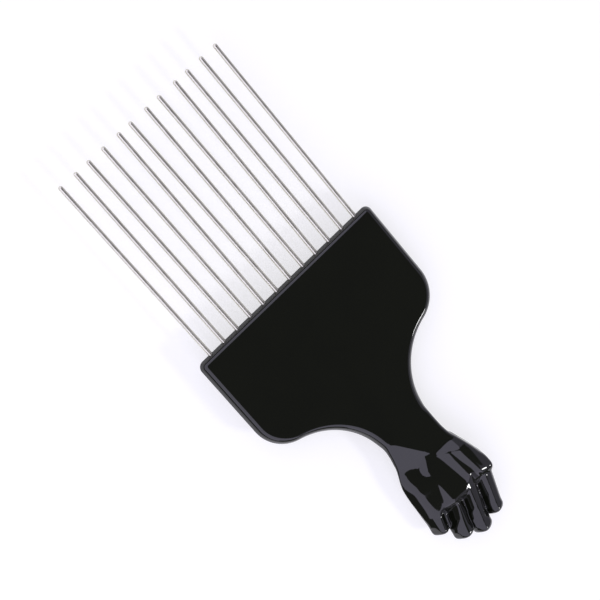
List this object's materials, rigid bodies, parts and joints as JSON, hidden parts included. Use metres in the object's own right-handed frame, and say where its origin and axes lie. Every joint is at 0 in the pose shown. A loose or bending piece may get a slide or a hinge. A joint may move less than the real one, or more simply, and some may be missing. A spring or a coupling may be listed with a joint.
{
  "type": "afro pick",
  "caption": "Wide-toothed hair pick with straight wire teeth in a flat moulded plastic head whose handle narrows to a neck and ends in a raised fist.",
  "frame": {"origin": "centre of the bottom of the overall box, with the pick lying flat and the back of the hand up", "axes": "+X across the row of teeth, +Y along the teeth towards their tips, +Z out of the head's front face"},
  "size_m": [0.076, 0.183, 0.0131],
  "materials": {
    "handle_plastic": "polished black moulded plastic",
    "tooth_wire": "nickel-plated steel wire"
  },
  "bodies": {
    "root": {"handle": "handle_plastic", "tooth_01": "tooth_wire", "tooth_02": "tooth_wire", "tooth_03": "tooth_wire", "tooth_04": "tooth_wire", "tooth_05": "tooth_wire", "tooth_06": "tooth_wire", "tooth_07": "tooth_wire", "tooth_08": "tooth_wire", "tooth_09": "tooth_wire", "tooth_10": "tooth_wire", "tooth_11": "tooth_wire", "tooth_12": "tooth_wire"}
  },
  "joints": []
}
